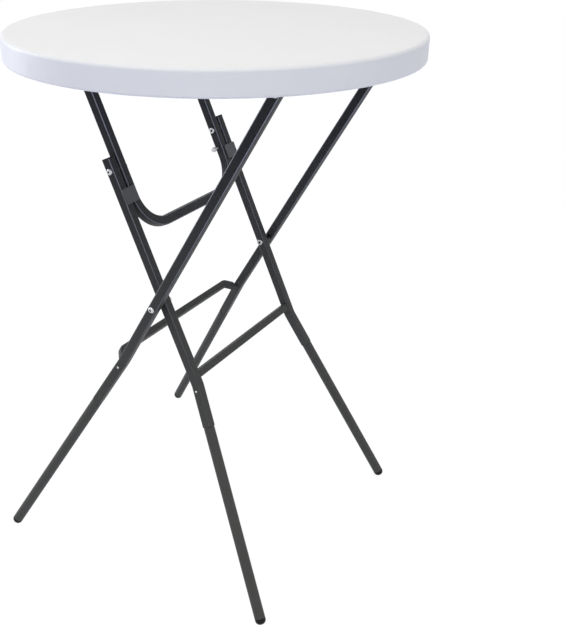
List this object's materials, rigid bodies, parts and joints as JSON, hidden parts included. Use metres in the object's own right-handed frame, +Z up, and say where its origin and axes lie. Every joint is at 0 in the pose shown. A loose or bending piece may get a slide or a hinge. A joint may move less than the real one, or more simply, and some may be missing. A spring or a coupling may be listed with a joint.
{
  "type": "folding cocktail table",
  "caption": "Bar-height folding table: round white plastic top on crossed steel-tube frames, held open by a knee-jointed locking bar with a sprung pin.",
  "frame": {"origin": "on the floor under the middle of the round top", "axes": "+Z up; X across the spread of the feet, outer frame's feet at -X; Y along the hinge axles, front at -Y, the arm with the lock pin at +Y"},
  "size_m": [0.8, 0.8, 1.1],
  "materials": {
    "white_plastic": "satin, faintly grained off-white moulded plastic",
    "coated_steel": "charcoal powder coat, satin",
    "coated_plate": "charcoal powder coat, slightly lighter",
    "bright_steel": "zinc-plated steel",
    "black_plastic": "matt black moulded plastic"
  },
  "bodies": {
    "outer_frame": {"outer_leg_front": "coated_steel", "outer_leg_back": "coated_steel", "outer_lower_leg_front": "coated_steel", "outer_lower_leg_back": "coated_steel", "outer_leg_button_front": "bright_steel", "outer_leg_button_back": "bright_steel", "outer_cross_bar": "coated_steel", "outer_foot_front": "black_plastic", "outer_foot_back": "black_plastic", "outer_top_plug_front": "black_plastic", "outer_top_plug_back": "black_plastic", "scissor_bolt_front": "bright_steel", "scissor_bolt_back": "bright_steel", "scissor_bush_front": "black_plastic", "scissor_bush_back": "black_plastic", "scissor_nut_front": "bright_steel", "scissor_nut_back": "bright_steel"},
    "inner_frame": {"inner_leg_front": "coated_steel", "inner_leg_back": "coated_steel", "inner_lower_leg_front": "coated_steel", "inner_lower_leg_back": "coated_steel", "inner_leg_button_front": "bright_steel", "inner_leg_button_back": "bright_steel", "inner_cross_bar": "coated_steel", "inner_foot_front": "black_plastic", "inner_foot_back": "black_plastic", "inner_top_plug_front": "black_plastic", "inner_top_plug_back": "black_plastic", "knee_bolt_front": "bright_steel", "knee_bolt_back": "bright_steel", "knee_bush_front": "black_plastic", "knee_bush_back": "black_plastic"},
    "hinged_top": {"table_top": "white_plastic", "outer_hinge_bracket_front": "coated_steel", "outer_hinge_bracket_back": "coated_steel", "bar_hinge_bracket_front": "coated_steel", "bar_hinge_bracket_back": "coated_steel", "outer_hinge_screw_front_1": "bright_steel", "outer_hinge_screw_front_2": "bright_steel", "outer_hinge_screw_back_1": "bright_steel", "outer_hinge_screw_back_2": "bright_steel", "bar_hinge_screw_front_1": "bright_steel", "bar_hinge_screw_front_2": "bright_steel", "bar_hinge_screw_back_1": "bright_steel", "bar_hinge_screw_back_2": "bright_steel", "outer_hinge_axle": "bright_steel", "outer_hinge_axle_clip_front": "bright_steel", "outer_hinge_axle_clip_back": "bright_steel", "bar_hinge_axle": "bright_steel", "bar_hinge_axle_clip_front": "bright_steel", "bar_hinge_axle_clip_back": "bright_steel"},
    "bar_unit": {"locking_bar": "coated_steel", "bar_top_plug_front": "black_plastic", "bar_top_plug_back": "black_plastic", "stop_plate_front": "coated_plate", "stop_plate_back": "coated_plate", "knee_rivet_front": "bright_steel", "knee_rivet_back": "bright_steel", "lock_spring": "bright_steel"},
    "pull_pin": {"lock_pin": "bright_steel"}
  },
  "joints": [
    {"name": "leg_fold", "type": "hinge", "parent": "outer_frame", "child": "inner_frame", "pos_m": [0.00656, 0, 0.60065], "axis": [0, 1, 0], "range_deg": [0, 54.35]},
    {"name": "top_tilt", "type": "hinge", "parent": "outer_frame", "child": "hinged_top", "pos_m": [0.26506, 0, 1.05], "axis": [0, -1, 0], "range_deg": [0, 59.32]},
    {"name": "bar_swing", "type": "hinge", "parent": "hinged_top", "child": "bar_unit", "pos_m": [-0.201, 0, 1.05], "axis": [0, -1, 0], "range_deg": [0, 64.79]},
    {"name": "pin_pull", "type": "slide", "parent": "bar_unit", "child": "pull_pin", "axis": [0, -1, 0], "range_m": [0, 0.006], "stiffness_N_per_m": 800, "springref_m": -0.004}
  ],
  "couplings": [
    {"joint": "top_tilt", "follows": "leg_fold", "ratio": 1.0913},
    {"joint": "bar_swing", "follows": "leg_fold", "ratio": 1.1921}
  ]
}
